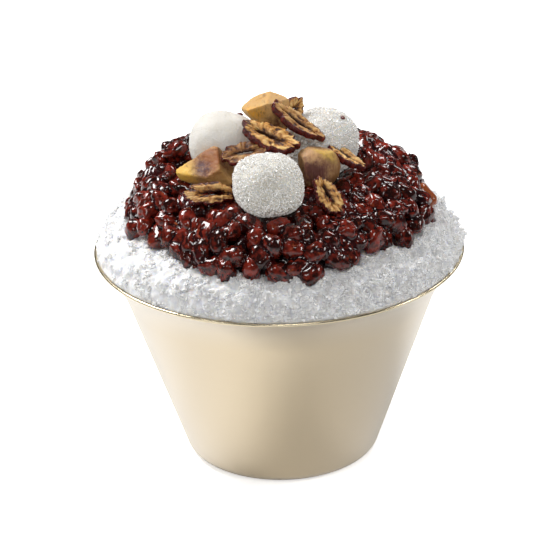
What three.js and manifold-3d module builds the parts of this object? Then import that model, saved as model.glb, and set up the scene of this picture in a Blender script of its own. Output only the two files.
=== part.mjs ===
// A bowl of shaved milk ice under sweet red beans, topped with three sugared rice cakes, chestnut
// pieces and slices of dried jujube. Millimetres, +Z up, origin at the centre of the bowl's foot.
// The side that the toppings face is -Y.
import * as THREE from "three";
import { mergeVertices } from "three/addons/utils/BufferGeometryUtils.js";
import Module from "manifold-3d";

const wasm = await Module();
wasm.setup();

// The bowl: a spun steel cone with a rounded foot and a lip that flares outwards.
const RIM_RADIUS = 75;
const BOWL_HEIGHT = 88;
const STEEL = 1.2;
const WALL_LEAN = THREE.MathUtils.degToRad(19);
const LIP_LEAN = THREE.MathUtils.degToRad(49.5);
const LIP_BEND = 41.4;
const FOOT_BEND = 6;

// The ice fills the bowl and stands above its rim as a mound with a round shoulder.
const ICE_RADIUS = 74;
const ICE_RISE = 17.2;
const ICE_SHOULDER = { across: 8, up: 2.2 };
const ICE_LUMP = 0.7;
const ICE_STEPS = 8;

// The beans lie on the ice as a flat-topped heap.
const HEAP_RADIUS = 62;
const HEAP_RISE = 33;
const HEAP_TILT = 0.03;
const HEAP_SHOULDER = { across: 10, up: 2 };
const HEAP_WANDER = 1.6;
const HEAP_SPILL = 2.2;
const HEAP_NOTCH = 6.6;
const HEAP_FLOOR = { above_rim: 4, inside_edge: 4 };
const HEAP_SEGMENTS = { round: 36, up: 7 };
const PILES = [
  { x: -38, y: 17, height: 6.5, reach: 9 },
  { x: 33, y: 17, height: 2, reach: 8 },
];
const DIPS = [
  { x: 58, y: 6, height: -6, reach: 9 },
  { x: -55, y: 6, height: -2.5, reach: 8 },
];
const BEAN = { length: 10.6, width: 8.4, thickness: 7.6 };
const BEAN_COUNT = 255;
const BEAN_SINK = 0.12;
const BEAN_STRAY = { round: 0.25, depth: 1.4, tip: 0.7, size: 0.24 };
const BEAN_CLEAR_OF_ICE = 1.5;
const BEAN_SEED = 7;

// Toppings.
const RICE_CAKE = { width: 29, height: 25.8 };
const SLICE_THICKNESS = 2.8;
const SLICE_STEPS = { outline: 26, slot: 10 };
const SLICE_WRINKLE = 0.05;

// Pieces that touch keep this much air between them.
const GAP = 0.3;
const SEGMENTS_ROUND = 42;
const SECTION_STEPS = 60;

// Numbers between 0 and 1 that are the same each time for one seed.
function seededDraw(seed) {
  let state = seed >>> 0;
  return () => {
    state = (state + 0x6d2b79f5) >>> 0;
    let mixed = Math.imul(state ^ (state >>> 15), state | 1);
    mixed ^= mixed + Math.imul(mixed ^ (mixed >>> 7), mixed | 61);
    return ((mixed ^ (mixed >>> 14)) >>> 0) / 2 ** 32;
  };
}

function solidOf(geometry) {
  const bare = geometry.clone();
  bare.deleteAttribute("normal");
  bare.deleteAttribute("uv");
  const merged = mergeVertices(bare, 1e-3);
  return new wasm.Manifold(
    new wasm.Mesh({
      numProp: 3,
      vertProperties: new Float32Array(merged.attributes.position.array),
      triVerts: new Uint32Array(merged.index.array),
    }),
  );
}

function geometryOf(solid) {
  const { vertProperties, triVerts } = solid.getMesh();
  const geometry = new THREE.BufferGeometry()
    .setAttribute("position", new THREE.BufferAttribute(vertProperties, 3))
    .setIndex(new THREE.BufferAttribute(triVerts, 1));
  geometry.computeVertexNormals();
  return geometry;
}

// Moves each point of a geometry by a function that changes the vector it is given.
function reshape(geometry, change) {
  const places = geometry.attributes.position;
  const point = new THREE.Vector3();
  for (let i = 0; i < places.count; i++) {
    change(point.fromBufferAttribute(places, i));
    places.setXYZ(i, point.x, point.y, point.z);
  }
  return geometry;
}

// A solid of revolution about Z from a profile of (radius, height) points.
function turned(profile, segments = SEGMENTS_ROUND) {
  return new THREE.LatheGeometry(profile, segments).rotateX(Math.PI / 2);
}

function placeOf({ at, turn = [0, 0, 0] }) {
  const degrees = turn.map((angle) => THREE.MathUtils.degToRad(angle));
  return new THREE.Matrix4()
    .makeRotationFromEuler(new THREE.Euler(...degrees))
    .setPosition(...at);
}

// The steel's surface in section, or the one that lies `inset` inside it, from the axis to the lip.
function bowlSection(inset) {
  const normal = (lean) => new THREE.Vector2(Math.cos(lean), -Math.sin(lean));
  const rim = new THREE.Vector2(RIM_RADIUS, BOWL_HEIGHT);
  const lipCentre = rim.clone().addScaledVector(normal(LIP_LEAN), LIP_BEND);
  const lipStart = lipCentre.clone().addScaledVector(normal(WALL_LEAN), -LIP_BEND);
  const footTop = FOOT_BEND * (1 - Math.sin(WALL_LEAN));
  const footCentre = new THREE.Vector2(
    lipStart.x - (lipStart.y - footTop) * Math.tan(WALL_LEAN) - FOOT_BEND * Math.cos(WALL_LEAN),
    FOOT_BEND,
  );
  const arc = (centre, radius, from, to, steps) =>
    Array.from({ length: steps + 1 }, (_, i) =>
      centre.clone().addScaledVector(normal(from + ((to - from) * i) / steps), radius),
    );
  return [
    new THREE.Vector2(0, inset),
    ...arc(footCentre, FOOT_BEND - inset, Math.PI / 2, WALL_LEAN, 3),
    ...arc(lipCentre, -LIP_BEND - inset, WALL_LEAN, LIP_LEAN, 4),
  ];
}

function bowl() {
  return turned([...bowlSection(0), ...bowlSection(STEEL).reverse()]);
}

// Height over the rim of a mound's surface at a radius: a superellipse from its edge to its top.
function moundHeight(radius, reach, rise, { across, up }) {
  const share = Math.min(1, radius / reach);
  return rise * (1 - share ** across) ** (1 / up);
}

function moundSection(reach, rise, shoulder, steps) {
  return Array.from({ length: steps + 1 }, (_, i) => {
    const angle = (Math.PI / 2) * (i / steps);
    const across = i < steps ? Math.cos(angle) : 0;
    return new THREE.Vector2(
      reach * across ** (2 / shoulder.across),
      BOWL_HEIGHT + rise * Math.sin(angle) ** (2 / shoulder.up),
    );
  });
}

const iceTop = (radius) =>
  BOWL_HEIGHT + moundHeight(radius, ICE_RADIUS, ICE_RISE, ICE_SHOULDER);

// How far the shown ring of ice bulges or dips at a point: clumps of snow a centimetre across.
function iceLump({ x, y, z }) {
  const shown = THREE.MathUtils.smoothstep(z, BOWL_HEIGHT + 2, BOWL_HEIGHT + 6);
  const bare = THREE.MathUtils.smoothstep(Math.hypot(x, y), HEAP_RADIUS + 3, HEAP_RADIUS + 7);
  const round = Math.atan2(y, x);
  const clumps = Math.sin(13 * round + 2) * Math.cos(0.9 * z + 5 * round) + 0.5 * Math.sin(19 * round);
  return shown * bare * ICE_LUMP * (0.7 * clumps - 0.6);
}

function shavedIce(grow = 0) {
  const inside = bowlSection(STEEL + GAP);
  const lip = inside.at(-1);
  const mound = moundSection(ICE_RADIUS + grow, ICE_RISE + grow, ICE_SHOULDER, ICE_STEPS).filter(
    (point) => point.y > lip.y + 1,
  );
  return reshape(turned([...inside, ...mound]), (point) => {
    const lump = iceLump(point);
    point.addScaledVector(new THREE.Vector3(point.x, point.y, 0).normalize(), lump);
    point.z += lump;
  });
}

// The heap's edge wanders in and out as the beans slid down. It spills further out in front, with a
// notch on the left and one on the right of that.
function heapEdge(round) {
  const wander = HEAP_WANDER * (0.6 * Math.sin(3 * round + 0.7) + 0.4 * Math.sin(8 * round));
  const front = Math.max(0, -Math.sin(round));
  return wander + front * (HEAP_SPILL - HEAP_NOTCH * Math.sin(2 * round) ** 6);
}

// The heap leans towards the back. A few more beans are piled behind the left and right rice cakes,
// and it dips where beans slid off at both sides.
function heapLift({ x, y }) {
  const lifts = [...PILES, ...DIPS].map((place) => {
    const away = Math.hypot(x - place.x, y - place.y) / place.reach;
    return place.height * Math.exp(-away * away);
  });
  return lifts.reduce((sum, lift) => sum + lift, HEAP_TILT * y);
}

// The packed beans and syrup that nothing shows of one by one.
function heapCore() {
  const floor = [0, HEAP_RADIUS - HEAP_FLOOR.inside_edge].map(
    (radius) => new THREE.Vector2(radius, BOWL_HEIGHT + HEAP_FLOOR.above_rim),
  );
  const dome = moundSection(HEAP_RADIUS, HEAP_RISE, HEAP_SHOULDER, HEAP_SEGMENTS.up).slice(1);
  return reshape(turned([...floor, ...dome], HEAP_SEGMENTS.round), (point) => {
    const radius = Math.hypot(point.x, point.y);
    const grow = (radius / HEAP_RADIUS) ** 3 * heapEdge(Math.atan2(point.y, point.x));
    const scale = radius ? (radius + grow) / radius : 1;
    point.x *= scale;
    point.y *= scale;
    point.z += heapLift(point);
  });
}

// A rice cake: a hand-rolled ball of dough, a little flat where it sat.
function riceCake(grow = 0) {
  const half = new THREE.Vector3(RICE_CAKE.width, RICE_CAKE.width, RICE_CAKE.height).multiplyScalar(0.5);
  return reshape(new THREE.IcosahedronGeometry(1, 3), (point) => {
    const dent = 1 - 0.02 * Math.sin(4 * point.x + 1) * Math.cos(3 * point.y);
    point.multiply(half).multiplyScalar(dent);
    point.setLength(point.length() + grow);
  });
}

// A piece of a boiled chestnut: the nut's round body with flat cuts through it. A cut removes what
// lies beyond its depth along its direction.
function chestnut({ body, cuts }, grow = 0) {
  const nut = reshape(new THREE.IcosahedronGeometry(1, 2), (point) => {
    point.multiply(new THREE.Vector3(...body));
    point.setLength(point.length() + grow);
  });
  const away = 4 * Math.max(...body);
  return cuts.reduce((left, { towards, depth }) => {
    const direction = new THREE.Vector3(...towards).normalize();
    const block = new THREE.BoxGeometry(away, away, away).translate(0, 0, away / 2 + depth + grow);
    const turn = new THREE.Quaternion().setFromUnitVectors(new THREE.Vector3(0, 0, 1), direction);
    return left.subtract(solidOf(block.applyQuaternion(turn)));
  }, solidOf(nut));
}

// A slice along a dried jujube: a wrinkled ring of flesh with the gap its stone left, dried into a curl.
function jujubeSlice({ length, width, thickness = SLICE_THICKNESS, curl, gap, ripple }, grow = 0) {
  const ring = (steps, across, along, wave) =>
    Array.from({ length: steps }, (_, i) => {
      const round = (2 * Math.PI * i) / steps;
      const reach = 1 + wave(round);
      return new THREE.Vector2(along * reach * Math.cos(round), across * reach * Math.sin(round));
    });
  const wrinkles = (round) =>
    SLICE_WRINKLE * (Math.sin(7 * round + ripple) + Math.sin(11 * round - ripple));
  const uneven = (round) => 2 * SLICE_WRINKLE * Math.sin(3 * round + ripple);
  const outline = new THREE.Shape(
    ring(SLICE_STEPS.outline, width / 2 + grow, length / 2 + grow, wrinkles),
  );
  const slot = ring(SLICE_STEPS.slot, gap.width / 2, gap.length / 2, uneven);
  outline.holes.push(new THREE.Path(slot.map(({ x, y }) => new THREE.Vector2(x + gap.shift, y))));
  const depth = thickness + 2 * grow;
  const slice = new THREE.ExtrudeGeometry(outline, { depth, bevelEnabled: false });
  return reshape(slice.translate(0, 0, -depth / 2), (point) => {
    const along = (2 * point.x) / length;
    point.z += curl * along * along + 0.12 * width * Math.sin(2 * along + ripple) * (point.y / width);
  });
}

const riceCakes = [
  { name: "rice_cake_front", at: [-3.6, -37.5, 131.5], turn: [0, 0, 20] },
  { name: "rice_cake_left", at: [-21.1, 4.5, 132], turn: [0, 8, 80] },
  { name: "rice_cake_right", at: [18.1, 5, 132], turn: [6, 0, 140] },
].map((cake) => ({ ...cake, colour: 0xe9e7e2, make: (grow) => solidOf(riceCake(grow)) }));

const chestnuts = [
  {
    name: "chestnut_left",
    at: [-27.6, -15, 129],
    turn: [14, 0, 4],
    body: [13, 9.5, 9.5],
    cuts: [
      { towards: [-0.34, -0.3, 0.9], depth: 3.3 },
      { towards: [0.75, -0.15, 0.5], depth: 6.6 },
      { towards: [-0.45, -0.8, -0.25], depth: 6 },
      { towards: [0.2, -1, 0.1], depth: 6.6 },
      { towards: [-0.3, 1, 0], depth: 5.5 },
      { towards: [0, 0, -1], depth: 5 },
    ],
  },
  {
    name: "chestnut_right",
    at: [15.6, -17, 130],
    turn: [0, 10, 30],
    body: [9.6, 9.2, 8.8],
    cuts: [
      { towards: [-1, 0.2, -0.2], depth: 6.5 },
      { towards: [0, 1, -0.2], depth: 4.5 },
      { towards: [0.1, 0.15, 1], depth: 7.2 },
    ],
  },
  {
    name: "chestnut_top",
    at: [-3, 0, 147.5],
    turn: [8, 6, -8],
    body: [11.5, 9.5, 8],
    cuts: [
      { towards: [-0.5, 0.02, 0.85], depth: 5 },
      { towards: [0.3, 0.05, 1], depth: 5.1 },
      { towards: [0.75, -0.35, 0.55], depth: 4.7 },
      { towards: [-0.1, -1, 0.05], depth: 4.6 },
      { towards: [-0.5, -0.6, -0.6], depth: 6 },
    ],
  },
].map((piece) => ({ ...piece, colour: 0xc09a55, make: (grow) => chestnut(piece, grow) }));

const jujubes = [
  {
    name: "jujube_middle",
    at: [-2.8, -14, 141.6],
    turn: [24, 12, -22],
    length: 23,
    width: 12.4,
    thickness: 3.8,
    curl: 1.2,
    gap: { length: 11, width: 2.2, shift: -1 },
    ripple: 0.4,
  },
  {
    name: "jujube_leaning",
    at: [8.2, -6.5, 144.8],
    turn: [14, 31, -20],
    length: 24.4,
    width: 9.6,
    curl: 1,
    gap: { length: 13, width: 1.8, shift: 1 },
    ripple: 1.9,
  },
  {
    name: "jujube_back",
    at: [6.2, 4, 145.4],
    turn: [62, 30, 60],
    length: 13,
    width: 8.5,
    curl: 1,
    gap: { length: 5.5, width: 2, shift: 0 },
    ripple: 3.1,
  },
  {
    name: "jujube_between",
    at: [-12.5, -18, 137],
    turn: [40, -8, 10],
    length: 19,
    width: 10,
    curl: 1,
    gap: { length: 8, width: 2.2, shift: 0 },
    ripple: 4.2,
  },
  {
    name: "jujube_left",
    at: [-27, -31, 125.5],
    turn: [42, 4, 4],
    length: 20,
    width: 10,
    curl: -1.4,
    gap: { length: 11, width: 2, shift: 1 },
    ripple: 5.3,
  },
  {
    name: "jujube_front",
    at: [19.4, -38, 126.2],
    turn: [44, 20, -58],
    length: 16.6,
    width: 9.5,
    curl: 0.9,
    gap: { length: 9, width: 2.2, shift: 0 },
    ripple: 0.9,
  },
  {
    name: "jujube_right",
    at: [26.2, -9, 131.6],
    turn: [8, 28, -28],
    length: 20,
    width: 9,
    curl: 0.8,
    gap: { length: 9, width: 2, shift: 1 },
    ripple: 2.6,
  },
].map((piece) => ({
  ...piece,
  colour: 0xb98a4e,
  make: (grow) => {
    const slice = solidOf(jujubeSlice(piece, grow));
    return grow ? slice.hull() : slice;
  },
}));

// The toppings in the order they were laid down. Each is dented by those already there, so that they
// touch across the gap, and is kept in its own frame with its place beside it.
function laid(pieces) {
  const there = [];
  return pieces.map((piece) => {
    const place = placeOf(piece);
    const back = place.clone().invert().toArray();
    const whole = there.reduce(
      (left, other) => left.subtract(other.transform(back)),
      piece.make(0),
    );
    const [largest] = whole.decompose().sort((a, b) => b.volume() - a.volume());
    there.push(piece.make(GAP).transform(place.toArray()));
    return { ...piece, place, solid: largest, room: there.at(-1) };
  });
}

const toppings = laid([...riceCakes, ...chestnuts, ...jujubes]);

// One cooked bean, plump and a little longer than wide.
function beanAt(place) {
  const half = new THREE.Vector3(BEAN.length, BEAN.width, BEAN.thickness).multiplyScalar(0.5);
  return solidOf(reshape(new THREE.IcosahedronGeometry(1, 0), (point) => point.multiply(half)))
    .transform(place.toArray());
}

// Places for the beans that show: a spiral of golden-angle steps over the heap's surface, each bean
// tipped to lie along the surface and turned at random.
function beanPlaces() {
  const draw = seededDraw(BEAN_SEED);
  const stray = (span) => span * (draw() - 0.5);
  const section = moundSection(HEAP_RADIUS, HEAP_RISE, HEAP_SHOULDER, SECTION_STEPS).reverse();
  const areas = [0];
  for (let i = 1; i < section.length; i++) {
    const band = section[i].distanceTo(section[i - 1]) * (section[i].x + section[i - 1].x);
    areas.push(areas[i - 1] + band);
  }
  const lowest = iceTop(HEAP_RADIUS) + BEAN_CLEAR_OF_ICE;
  const places = [];
  for (let i = 0; i < BEAN_COUNT; i++) {
    const share = ((i + 0.5) / BEAN_COUNT) * areas.at(-1);
    const k = Math.max(1, areas.findIndex((area) => area >= share));
    const along = (share - areas[k - 1]) / (areas[k] - areas[k - 1]);
    const point = section[k - 1].clone().lerp(section[k], along);
    point.x = Math.sqrt(THREE.MathUtils.lerp(section[k - 1].x ** 2, section[k].x ** 2, along));
    if (point.y < lowest) continue;
    const slope = section[k].clone().sub(section[k - 1]).normalize();
    const round = i * Math.PI * (3 - Math.sqrt(5)) + stray(BEAN_STRAY.round);
    const out = new THREE.Vector3(-slope.y * Math.cos(round), -slope.y * Math.sin(round), slope.x);
    const edge = (point.x / HEAP_RADIUS) ** 3 * heapEdge(round);
    const centre = new THREE.Vector3(
      (point.x + edge) * Math.cos(round),
      (point.x + edge) * Math.sin(round),
      point.y,
    ).addScaledVector(out, -BEAN_SINK * BEAN.thickness + stray(BEAN_STRAY.depth));
    centre.z += heapLift(centre);
    const tip = new THREE.Quaternion().setFromUnitVectors(new THREE.Vector3(0, 0, 1), out);
    const spin = new THREE.Quaternion().setFromEuler(
      new THREE.Euler(stray(BEAN_STRAY.tip), stray(BEAN_STRAY.tip), 2 * Math.PI * draw()),
    );
    const size = 1 + stray(BEAN_STRAY.size);
    places.push(
      new THREE.Matrix4().compose(centre, tip.multiply(spin), new THREE.Vector3(size, size, size)),
    );
  }
  return places;
}

// The heap is fitted to the bare ice and to the toppings pressed into it.
function redBeans() {
  const iceRoom = solidOf(shavedIce(GAP));
  const topped = wasm.Manifold.union(toppings.map(({ room }) => room));
  const beans = beanPlaces()
    .map(beanAt)
    .filter((bean) => bean.intersect(topped).isEmpty());
  const heap = solidOf(heapCore()).subtract(topped);
  const [whole] = wasm.Manifold.union([heap, ...beans])
    .subtract(iceRoom)
    .decompose()
    .sort((a, b) => b.volume() - a.volume());
  return whole;
}

const group = new THREE.Group();
function add(name, geometry, color, roughness, metalness = 0) {
  const mesh = new THREE.Mesh(geometry, new THREE.MeshStandardMaterial({ color, roughness, metalness }));
  mesh.name = name;
  group.add(mesh);
  return mesh;
}

add("bowl", bowl(), 0xc9b591, 0.3, 1);
add("shaved_ice", shavedIce(), 0xf2f4f7, 0.6);
add("red_beans", geometryOf(redBeans()), 0x4a1210, 0.2);
for (const { name, colour, solid, place } of toppings) {
  add(name, geometryOf(solid), colour, 0.6).applyMatrix4(place);
}

export default group;
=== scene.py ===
import math

import bmesh
import bpy
import numpy as np
from mathutils import Euler, Matrix, Vector, noise
from mathutils.bvhtree import BVHTree


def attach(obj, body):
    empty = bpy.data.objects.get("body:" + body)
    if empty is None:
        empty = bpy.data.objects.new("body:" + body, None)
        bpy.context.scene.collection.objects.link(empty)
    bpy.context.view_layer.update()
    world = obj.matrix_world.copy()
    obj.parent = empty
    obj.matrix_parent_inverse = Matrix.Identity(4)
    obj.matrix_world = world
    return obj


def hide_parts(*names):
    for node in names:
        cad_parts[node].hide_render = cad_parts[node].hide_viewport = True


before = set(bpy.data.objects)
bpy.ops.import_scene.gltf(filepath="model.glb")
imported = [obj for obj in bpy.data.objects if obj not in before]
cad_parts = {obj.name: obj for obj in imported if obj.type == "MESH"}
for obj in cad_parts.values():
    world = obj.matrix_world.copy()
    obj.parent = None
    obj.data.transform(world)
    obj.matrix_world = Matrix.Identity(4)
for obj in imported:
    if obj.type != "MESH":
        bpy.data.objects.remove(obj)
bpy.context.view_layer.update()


# The bowl is spun from one disc of stainless steel with a champagne tone, up from a flat base with
# a rounded foot to a lip that flares out. The wall has a satin brush that runs round it, and the
# cut edge of the lip is rounded and polished bright.
MM = 0.001
RIM_RADIUS = 75 * MM
BOWL_HEIGHT = 88 * MM
STEEL = 1.2 * MM
WALL_LEAN = math.radians(19)
LIP_LEAN = math.radians(49.5)
LIP_BEND = 41.4 * MM
FOOT_BEND = 6 * MM
BOWL_STEPS = 192
FOOT_STEPS = 10
LIP_STEPS = 16
EDGE_STEPS = 8
STEEL_TONE = (0.72, 0.61, 0.44)
RIM_GOLD = (0.74, 0.64, 0.45)
# Painted sheen: the paler colour painted on the wall where it turns away from the view, and the
# facing range over which it shows.
STEEL_EDGE_SHEEN = (0.71, 0.65, 0.56)
SHEEN_FROM_TO = (0.32, 0.8)
POLISH_FROM_TO = (BOWL_HEIGHT - 0.3 * MM, BOWL_HEIGHT + 0.1 * MM)
BRUSH_STRETCH = (25, 25, 2600)
BRUSH_DEPTH = 0.006 * MM


def bowl_section(inset, foot_steps, lip_steps):
    """The steel's outer line in section, or the one that lies inset inside it, from axis to lip."""

    def normal(lean):
        return Vector((math.cos(lean), 0, -math.sin(lean)))

    def arc(centre, radius, start, stop, steps):
        leans = [start + (stop - start) * i / steps for i in range(steps + 1)]
        return [centre + normal(lean) * radius for lean in leans]

    lip_centre = Vector((RIM_RADIUS, 0, BOWL_HEIGHT)) + normal(LIP_LEAN) * LIP_BEND
    lip_start = lip_centre - normal(WALL_LEAN) * LIP_BEND
    foot_top = FOOT_BEND * (1 - math.sin(WALL_LEAN))
    foot_out = lip_start.x - (lip_start.z - foot_top) * math.tan(WALL_LEAN)
    foot_centre = Vector((foot_out - FOOT_BEND * math.cos(WALL_LEAN), 0, FOOT_BEND))
    foot = arc(foot_centre, FOOT_BEND - inset, math.pi / 2, WALL_LEAN, foot_steps)
    lip = arc(lip_centre, -LIP_BEND - inset, WALL_LEAN, LIP_LEAN, lip_steps)
    return [Vector((0, 0, inset)), *foot, *lip]


def in_order(bm):
    """Puts a spun bmesh's faces in one fixed order, which the spin leaves to chance."""
    bm.verts.index_update()
    ordered = sorted(bm.faces, key=lambda face: sorted(vert.index for vert in face.verts))
    for place, face in enumerate(ordered):
        face.index = place
    bm.faces.sort()


def spun(section, steps):
    """A bmesh turned about Z from a section that starts and ends on the axis."""
    bm = bmesh.new()
    line = [bm.verts.new(point) for point in section]
    edges = [bm.edges.new(pair) for pair in zip(line, line[1:])]
    bmesh.ops.spin(
        bm, geom=line + edges, axis=(0, 0, 1), angle=2 * math.pi, steps=steps, use_merge=True
    )
    bmesh.ops.remove_doubles(bm, verts=bm.verts, dist=0.001 * MM)
    bmesh.ops.recalc_face_normals(bm, faces=bm.faces)
    in_order(bm)
    return bm


def piece_of(name, mesh):
    """Puts a finished mesh in the scene as a piece of the object, fixed to its root body."""
    piece = bpy.data.objects.new(name, mesh)
    bpy.context.scene.collection.objects.link(piece)
    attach(piece, "root")
    return piece


def mesh_of(name, bm):
    """Turns a bmesh into a smooth mesh."""
    mesh = bpy.data.meshes.new(name)
    bm.to_mesh(mesh)
    bm.free()
    mesh.shade_smooth()
    return mesh


class Socket:
    """A shader socket in Python sums: each sign adds the Math node that it stands for."""

    def __init__(self, finish, link):
        self.finish = finish
        self.link = link

    def math(self, operation, *values):
        return self.finish.node("Math", {"operation": operation}, dict(enumerate(values)))

    def __add__(self, other):
        return self.math("ADD", self, other)

    def __sub__(self, other):
        return self.math("SUBTRACT", self, other)

    def __rsub__(self, other):
        return self.math("SUBTRACT", other, self)

    def __mul__(self, other):
        return self.math("MULTIPLY", self, other)

    def within(self, low, high):
        """0 below low and 1 above high, with a straight climb between them."""
        return self.finish.node("MapRange", {"clamp": True}, {0: self, 1: low, 2: high})

    __radd__ = __add__
    __rmul__ = __mul__


class Finish:
    """A procedural material. Its node method adds any shader node, and works out nothing else."""

    def __init__(self, name):
        self.material = bpy.data.materials.new(name)
        self.material.use_nodes = True
        self.tree = self.material.node_tree
        self.tree.nodes.clear()
        self.here = self.node("TexCoord", output="Object")

    def node(self, kind, settings=None, inputs=None, output=0):
        """Adds a node: its type, its settings, then a number, colour or socket for each input."""
        made = self.tree.nodes.new("ShaderNode" + kind)
        for key, value in (settings or {}).items():
            setattr(made, key, value)
        for key, value in (inputs or {}).items():
            if isinstance(value, Socket):
                self.tree.links.new(value.link, made.inputs[key])
            elif made.inputs[key].type == "RGBA":
                made.inputs[key].default_value = (*value, 1)
            else:
                made.inputs[key].default_value = value
        return Socket(self, made.outputs[output]) if made.outputs else None

    def noise(self, scale, detail=3, rough=0.5, at=None):
        """Noise between about 0.3 and 0.7 with scale bumps a metre."""
        inputs = {"Vector": at or self.here, "Scale": scale, "Detail": detail, "Roughness": rough}
        return self.node("TexNoise", None, inputs)

    def nearness(self, place, reach):
        """1 close to a place and 0 further from it than reach, both in millimetres."""
        centre = tuple(c * MM for c in place)
        far = self.node("VectorMath", {"operation": "DISTANCE"}, {0: self.here, 1: centre}, "Value")
        return 1 - far.within(0.2 * reach * MM, reach * MM)

    def mix(self, share, first, second):
        """The first colour where share is 0, and the second where it is 1."""
        return self.node("Mix", {"data_type": "RGBA"}, {0: share, 6: first, 7: second}, 2)

    def cover(self, pieces, inputs, relief=None, depth=None):
        """Ends the material in a shader with these inputs and puts it on the pieces."""
        if relief:
            bump = self.node("Bump", None, {"Height": relief, "Distance": depth})
            inputs = {**inputs, "Normal": bump}
        shader = self.node("BsdfPrincipled", None, inputs)
        self.node("OutputMaterial", None, {"Surface": shader})
        for piece in pieces:
            piece.data.materials.clear()
            piece.data.materials.append(self.material)


def rounded_lip(steps):
    """The lip's cut edge in section, a half circle from the outer line to the inner one."""
    across = Vector((math.cos(LIP_LEAN), 0, -math.sin(LIP_LEAN)))
    up = Vector((math.sin(LIP_LEAN), 0, math.cos(LIP_LEAN)))
    middle = Vector((RIM_RADIUS, 0, BOWL_HEIGHT)) - across * STEEL / 2
    angles = [math.pi * i / steps for i in range(1, steps)]
    return [middle + (across * math.cos(a) + up * math.sin(a)) * STEEL / 2 for a in angles]


steel_line = [
    *bowl_section(0, FOOT_STEPS, LIP_STEPS),
    *rounded_lip(EDGE_STEPS),
    *reversed(bowl_section(STEEL, FOOT_STEPS, LIP_STEPS)),
]
bowl = piece_of("steel_bowl", mesh_of("steel_bowl", spun(steel_line, BOWL_STEPS)))
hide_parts("bowl")

steel = Finish("champagne_steel")
height = steel.node("SeparateXYZ", None, {0: steel.here}, "Z")
brushed_at = steel.node("Mapping", None, {"Vector": steel.here, "Scale": BRUSH_STRETCH})
brush = steel.noise(1, 2, at=brushed_at)
polish = height.within(*POLISH_FROM_TO)
# Painted sheen: the wall's colour is painted paler where it turns away from the view, standing in
# for the white that the steel reflects there.
sheen_share = steel.node("LayerWeight", None, {"Blend": 0.5}, "Facing").within(*SHEEN_FROM_TO)
tone_with_sheen = steel.mix(sheen_share, STEEL_TONE, STEEL_EDGE_SHEEN)
steel.cover(
    [bowl],
    {
        "Base Color": steel.mix(polish, tone_with_sheen, RIM_GOLD),
        "Metallic": 1,
        "Roughness": 0.3 + 0.12 * brush - 0.1 * polish,
    },
    relief=brush,
    depth=BRUSH_DEPTH,
)


# The shaved milk ice is snow of fine frozen flakes, packed loosely until it stands above the rim as
# a mound with a round shoulder. One mesh fills the bowl, its shown ring raised in clumps and
# grains. Loose flakes of clear ice lie on it, but on its left it is packed smooth.
GAP = 0.3 * MM
ICE_RADIUS = 74 * MM
ICE_RISE = 17.2 * MM
ICE_SHOULDER = {"across": 8, "up": 2.2}
ICE_STEPS = 760
ICE_GRAIN_STEP = 0.56 * MM
ICE_HIDDEN_WITHIN = 54 * MM
ICE_OVER_LIP = 0.3 * MM
ICE_LOOSENS_BY = 2 * MM
MOUND_STEPS = 600
HIDDEN_STEPS = {"foot_steps": 3, "lip_steps": 4}
CLUMP = {"size": 5 * MM, "depth": 1.6 * MM}
GRAIN = {"size": 2.2 * MM, "depth": 1.0 * MM}
COARSE = {"left": 0.8, "more": 0.9, "from": -50 * MM, "to": 30 * MM}
FLAKES = 13000
FLAKE_SIZE = (0.4 * MM, 1.6 * MM)
FLAKE_STRETCH = (0.35, 1)
FLAKE_OUT = 0.35
LOOSE = {"from": -45 * MM, "ragged": 130 * MM, "size": 3.5 * MM}


def mound_line(reach, rise, shoulder):
    """A mound's surface in section over the rim, a superellipse from its edge to its top."""
    line = []
    for i in range(MOUND_STEPS + 1):
        angle = math.pi / 2 * i / MOUND_STEPS
        across = math.cos(angle) if i < MOUND_STEPS else 0
        radius = reach * across ** (2 / shoulder["across"])
        height = BOWL_HEIGHT + rise * math.sin(angle) ** (2 / shoulder["up"])
        line.append(Vector((radius, 0, height)))
    return line


def evenly(line, spacing):
    """The same line with its points a spacing apart."""
    kept = [line[0]]
    for start, stop in zip(line, line[1:]):
        while (stop - kept[-1]).length > spacing:
            kept.append(kept[-1] + (stop - kept[-1]).normalized() * spacing)
    return kept


def ice_height(radius):
    """The height of the smooth ice at a radius."""
    share = min(1, radius / ICE_RADIUS)
    up = (1 - share ** ICE_SHOULDER["across"]) ** (1 / ICE_SHOULDER["up"])
    return BOWL_HEIGHT + ICE_RISE * up


def smooth_share(value, low, high):
    """0 below low and 1 above high, with a smooth climb between them."""
    share = min(1, max(0, (value - low) / (high - low)))
    return share * share * (3 - 2 * share)


def ice_relief(point):
    """How far the snow stands out: clumps, then grains on them, all coarser towards the right."""
    clump = noise.fractal(point / CLUMP["size"], 1, 2, 3)
    grain = noise.voronoi(point / GRAIN["size"])[0][0]
    right = smooth_share(point.x, COARSE["from"], COARSE["to"])
    coarse = COARSE["left"] + COARSE["more"] * right
    return coarse * (CLUMP["depth"] * (clump - 0.25) + GRAIN["depth"] * (0.45 - grain))


inside = bowl_section(STEEL + GAP, **HIDDEN_STEPS)
lip_height = inside[-1].z
mound = mound_line(ICE_RADIUS, ICE_RISE, ICE_SHOULDER)
shown = [point for point in mound if point.z > lip_height + ICE_OVER_LIP]
fine = [point for point in evenly(shown, ICE_GRAIN_STEP) if point.x > ICE_HIDDEN_WITHIN]
ice_line = [*inside, *fine, Vector((0, 0, BOWL_HEIGHT + ICE_RISE))]
snow = spun(ice_line, ICE_STEPS)
snow.normal_update()
for vert in snow.verts:
    loose = smooth_share(vert.co.z, lip_height, lip_height + ICE_LOOSENS_BY)
    if loose and vert.co.xy.length > ICE_HIDDEN_WITHIN:
        vert.co += vert.normal * loose * ice_relief(vert.co)
ice = piece_of("milk_ice", mesh_of("milk_ice", snow))
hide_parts("shaved_ice")


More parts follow.
